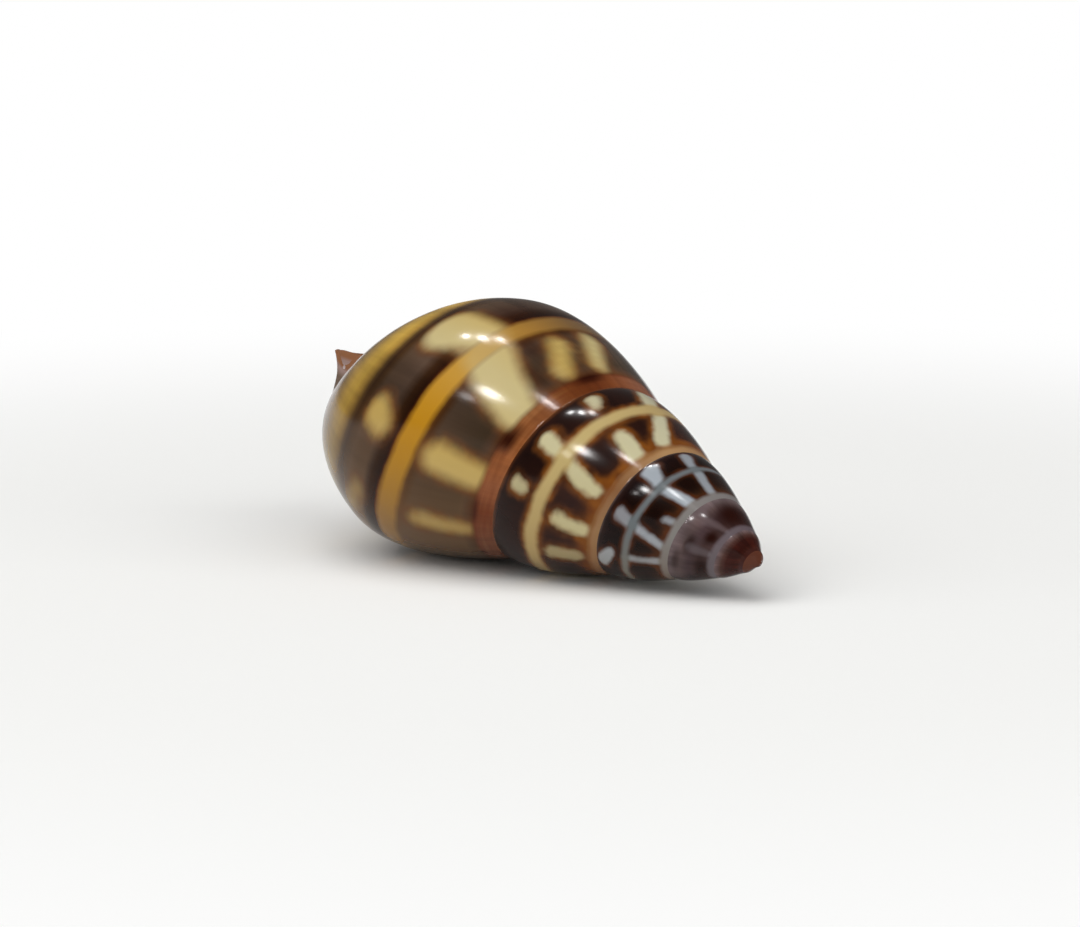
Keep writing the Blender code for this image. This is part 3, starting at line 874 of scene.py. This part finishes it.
def netDistance(add, at, noNet):
    # how far outside the pale net of the spire each point is, in turns: its streaks, its band and the line
    # below the suture, and how much of each line is there
    across = at["unevenAcross"]
    fromMiddle = add(calc, (across, pattern["bandMiddle"]), operation="SUBTRACT")
    fromMiddle = add(calc, (fromMiddle,), operation="ABSOLUTE")
    away, onLine = {}, {}
    for name, start, absent in (("netBand", fromMiddle, noNet), ("netSuture", across, at["grownUp"])):
        width = add(mapRange, {"Value": at["turn"], **ends("From", pattern["netLinesGrow"]),
                               **ends("To", pattern["netLines"][name])})
        outside = add(calc, (start, width), operation="SUBTRACT")
        away[name] = add(calc, (outside, markings["acrossPerTurn"], absent), operation="MULTIPLY_ADD")
        onLine[name] = add(mapRange, {"Value": away[name], **ends("From", pattern["onNetLine"])})
    nearerLine = add(calc, tuple(away.values()), operation="MINIMUM")
    netAway = add(calc, (at["unevenStreak"], nearerLine, pattern["netJoin"]), operation="SMOOTH_MIN")
    return netAway, onLine


def markedColour(add, at, tones, ground):  # the ground with the net, the streaks, the band and the blotches
    across, grownUp, young = at["unevenAcross"], at["grownUp"], at["young"]
    noNet = add(calc, (grownUp, young), operation="MAXIMUM")
    netAway, onLine = netDistance(add, at, noNet)
    softness = add(mapRange, {"Value": noNet, **ends("To", pattern["softness"])})
    hard = add(calc, (softness, -1), operation="MULTIPLY")
    inPale = add(mapRange, {"Value": netAway, **ends("From", (softness, hard))},
                 interpolation_type="SMOOTHSTEP")

    # a patchy brown edge, wider at the tops of the dark windows
    topness = add(mapRange, {"Value": at["across"], **ends("From", pattern["windowTop"])})
    onSpire = add(calc, (1, grownUp), operation="SUBTRACT")
    topness = add(calc, (topness, onSpire), operation="MULTIPLY")
    widened = add(calc, (topness, -pattern["windowTopReach"], netAway), operation="MULTIPLY_ADD")
    inEdge = add(mapRange, {"Value": widened, **ends("From", (pattern["edgeReach"], 0))},
                 interpolation_type="SMOOTHSTEP")
    found, made = pattern["edgePatches"]
    patches = add(noise, {"Vector": at["object"], "Scale": 1 / (pattern["edgePatchSize"] * mm), "Detail": 1})
    patches = add(mapRange, {"Value": patches, **ends("From", found), **ends("To", made)})
    grown = add(calc, (1, young), operation="SUBTRACT")
    offBase = add(mapRange, {"Value": at["across"], **ends("From", pattern["offBase"])})

    # faint streaks are less pale, and the lines of the net are not
    onEither = add(calc, tuple(onLine.values()), operation="MAXIMUM")
    strength = add(mixNode, {0: onEither, 2: at["paleness"], 3: 1.0})

    # on the last whorl the streaks stop at the rust under the suture
    stopped = add(mapRange, {"Value": across, **ends("From", pattern["streaksStop"])})
    stopped = add(calc, (stopped, grownUp), operation="MULTIPLY")
    free = add(calc, (1, stopped), operation="SUBTRACT")

    # and the orange band shows through a streak that crosses it
    onBand = grownUp
    for name in ("onBandFromTop", "onBandFromFoot"):
        there = add(mapRange, {"Value": across, **ends("From", pattern[name])})
        onBand = add(calc, (onBand, there), operation="MULTIPLY")
    paleKept = add(mapRange, {"Value": onBand, **ends("To", (1, pattern["paleOnBand"]))})
    edgeKept = add(calc, (1, onBand), operation="SUBTRACT")
    for factor in (offBase, strength, free, paleKept):
        inPale = add(calc, (inPale, factor), operation="MULTIPLY")
    for factor in (patches, grown, offBase, strength, free, edgeKept):
        inEdge = add(calc, (inEdge, factor), operation="MULTIPLY")

    paleHere = tones["pale"]
    for name, share in onLine.items():
        paleHere = add(mixNode, {0: share, 6: paleHere, 7: tones[name]}, data_type="RGBA")
    layers = ((onBand, tones["band"]), (inEdge, tones["edge"]), (at["blotch"], tones["blotch"]),
              (inPale, paleHere))
    coloured = ground
    for share, tone in layers:
        coloured = add(mixNode, {0: share, 6: coloured, 7: tone}, data_type="RGBA")
    return coloured


def finalColour(add, at, marked):
    # the smooth first whorl, the pale glaze inside, through which the bands show faintly, and the lip, which
    # is purplish behind and brown at its edge
    inside = {"Value": at["side"], "From Min": pattern["insideFrom"], "To Max": pattern["glaze"]}
    shares = {"apex": add(mapRange, {"Value": at["turn"], **ends("From", pattern["apexGoes"])}),
              "nacre": add(mapRange, inside)}
    for name, span in pattern["lip"].items():
        shares[name] = add(mapRange, {"Value": at["fromLip"], **ends("From", span)},
                           interpolation_type="SMOOTHSTEP")
    for name, share in shares.items():
        marked = add(mixNode, {0: share, 6: marked, 7: colour(pigment[name])}, data_type="RGBA")
    return marked


def newMaterial(name):
    material = bpy.data.materials.new(name)
    material.use_nodes = True
    material.node_tree.nodes.clear()
    return material, partial(addNode, material.node_tree)


def shellMaterial():
    material, add = newMaterial("glossyPigmentedAragonite")
    at = pigmentPlaces(add)
    tones = tonesByAge(add, at["turn"])
    marked = markedColour(add, at, tones, groundColour(add, at, tones))
    linesPerTurn = shellLook["lastWhorlRound"] / shellLook["growthLine"]
    repeats = (linesPerTurn, shellLook["linesAcross"], 1)
    lineSpot = add(vectorCalc, (at["unrolled"], repeats), operation="MULTIPLY")
    lines = add(noise, {"Vector": lineSpot, "Scale": 1, "Detail": 1})
    older = add(mapRange, {"Value": at["turn"], **ends("From", shellLook["linesFrom"])})
    lines = add(calc, (lines, older), operation="MULTIPLY")
    bump = add("ShaderNodeBump", {"Height": lines, "Strength": shellLook["lineStrength"],
                                  "Distance": shellLook["lineHeight"] * mm})
    surface = add("ShaderNodeBsdfPrincipled", {
        "Base Color": finalColour(add, at, marked), "Roughness": shellLook["roughness"],
        "IOR": shellLook["ior"], "Specular IOR Level": shellLook["shine"], "Normal": bump})
    add("ShaderNodeOutputMaterial", {"Surface": surface})
    return material


print("growing the shell")
shell = finishedShell(grownShell(shellMaterial()))
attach(shell, "root")
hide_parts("shell")


studio = {
    "floorColour": "#f2f2f0",
    "floorReach": 4.0,  # m
    "whiteSpan": (0.035, 0.10),  # m from the shell, where the floor starts to fade to white and is white
    "worldStrength": 0.20,
    "backdropSpan": (0.04, 0.0),  # sine of the height, where the backdrop in the gloss starts and is full
    "lampsAim": (0, 0, 0.006),  # m
    # direction as (azimuth, elevation) in degrees, distance and diameter in m, watts, and whether the lamp is
    # there for the gloss or for the rest of the light
    "lamps": {
        "overheadLeft": ((-142, 74.6), 0.60, 0.030, 0.75, True),
        "overheadMiddle": ((-127, 81.7), 0.60, 0.034, 1.05, True),
        "overheadRight": ((-95, 88.2), 0.60, 0.030, 0.65, True),
        "frontLeft": ((-84, 32), 0.60, 0.04, 0.25, True),
        "front": ((-74, 40.5), 0.60, 0.07, 1.80, True),
        "frontHigh": ((-44, 51), 0.60, 0.05, 0.85, True),
        "softTop": ((-120, 70), 0.80, 1.00, 4.5, False),
        "softLeft": ((-115, 25), 0.80, 1.00, 2.2, False),
        "softRight": ((-5, 30), 0.80, 1.00, 3.8, False),
    },
}
camera = {  # degrees and mm
    "azimuth": -47.386,
    "elevation": 9.287,
    "distance": 215.58,
    "aim": (0.380, 0.0, 5.185),
    "roll": -0.34,
    "lens": 140.0,
    "sensor": 36,
}


def towards(azimuth, elevation):
    bearing, height = math.radians(azimuth), math.radians(elevation)
    level = math.cos(height)
    return Vector((level * math.cos(bearing), level * math.sin(bearing), math.sin(height)))


def aimed(thing, place, target, roll=0):
    facing = (target - place).to_track_quat("-Z", "Y").to_matrix().to_4x4()
    thing.matrix_world = Matrix.Translation(place) @ facing @ Matrix.Rotation(math.radians(roll), 4, "Z")


def seenRays(add):  # 1 on the rays that show the background directly, and 1 on those that a surface sends on
    rays = add("ShaderNodeLightPath").outputs
    indirect = add(calc, (rays["Is Glossy Ray"], rays["Is Transmission Ray"]), operation="MAXIMUM")
    return rays["Is Camera Ray"], indirect


def paperMaterial():
    # matte paper, pressed smooth: a soft shadow and no shine. Away from the shell it is plain white, both
    # seen directly and in the gloss.
    material, add = newMaterial("mattePaper")
    place = add("ShaderNodeTexCoord").outputs["Object"]
    away = add(vectorCalc, (place,), operation="LENGTH").outputs["Value"]
    white = add(mapRange, {"Value": away, **ends("From", studio["whiteSpan"])},
                interpolation_type="SMOOTHSTEP")
    seen = add(calc, seenRays(add), operation="MAXIMUM")
    white = add(calc, (white, seen), operation="MULTIPLY")
    paper = add("ShaderNodeBsdfDiffuse", {"Color": colour(studio["floorColour"])})
    glow = add("ShaderNodeEmission", {"Color": (1, 1, 1, 1), "Strength": 1.0})
    mixed = add("ShaderNodeMixShader", (white, paper, glow))
    add("ShaderNodeOutputMaterial", {"Surface": mixed})
    return material


def buildFloor():
    reach = studio["floorReach"]
    data = bpy.data.meshes.new("floor")
    corners = [(-reach, -reach, 0), (reach, -reach, 0), (reach, reach, 0), (-reach, reach, 0)]
    data.from_pydata(corners, [], [(0, 1, 2, 3)])
    floor = bpy.data.objects.new("floor", data)
    bpy.context.scene.collection.objects.link(floor)
    data.materials.append(paperMaterial())


def lightWorld():
    world = bpy.data.worlds.new("studio")
    bpy.context.scene.world = world
    world.use_nodes = True
    world.node_tree.nodes.clear()
    add = partial(addNode, world.node_tree)
    sightLine = add("ShaderNodeTexCoord").outputs["Generated"]
    height = add(separate, (sightLine,)).outputs["Z"]
    backdrop = add(mapRange, {"Value": height, **ends("From", studio["backdropSpan"])},
                   interpolation_type="SMOOTHSTEP")
    direct, indirect = seenRays(add)
    white = add(calc, (backdrop, indirect), operation="MULTIPLY")
    white = add(calc, (white, direct), operation="MAXIMUM")
    strength = add(mapRange, {"Value": white, "To Min": studio["worldStrength"], "To Max": 1.0})
    sky = add("ShaderNodeBackground", {"Color": (1, 1, 1, 1), "Strength": strength})
    add("ShaderNodeOutputWorld", {"Surface": sky})


def placeLamps():
    centre = Vector(studio["lampsAim"])
    for name, (bearing, distance, size, watts, shines) in studio["lamps"].items():
        data = bpy.data.lights.new(name, "AREA")
        data.shape = "DISK"
        data.size = size
        data.energy = watts
        lamp = bpy.data.objects.new(name, data)
        bpy.context.scene.collection.objects.link(lamp)
        lamp.visible_glossy = shines
        lamp.visible_diffuse = not shines
        aimed(lamp, centre + towards(*bearing) * distance, centre)


def placeCamera():
    data = bpy.data.cameras.new("camera")
    data.lens = camera["lens"]
    data.sensor_width = camera["sensor"]
    eye = bpy.data.objects.new("camera", data)
    bpy.context.scene.collection.objects.link(eye)
    target = Vector(camera["aim"]) * mm
    place = target + towards(camera["azimuth"], camera["elevation"]) * camera["distance"] * mm
    aimed(eye, place, target, camera["roll"])
    bpy.context.scene.camera = eye


print("lighting the studio")
buildFloor()
lightWorld()
placeLamps()
placeCamera()
bpy.context.scene.view_settings.view_transform = "Standard"
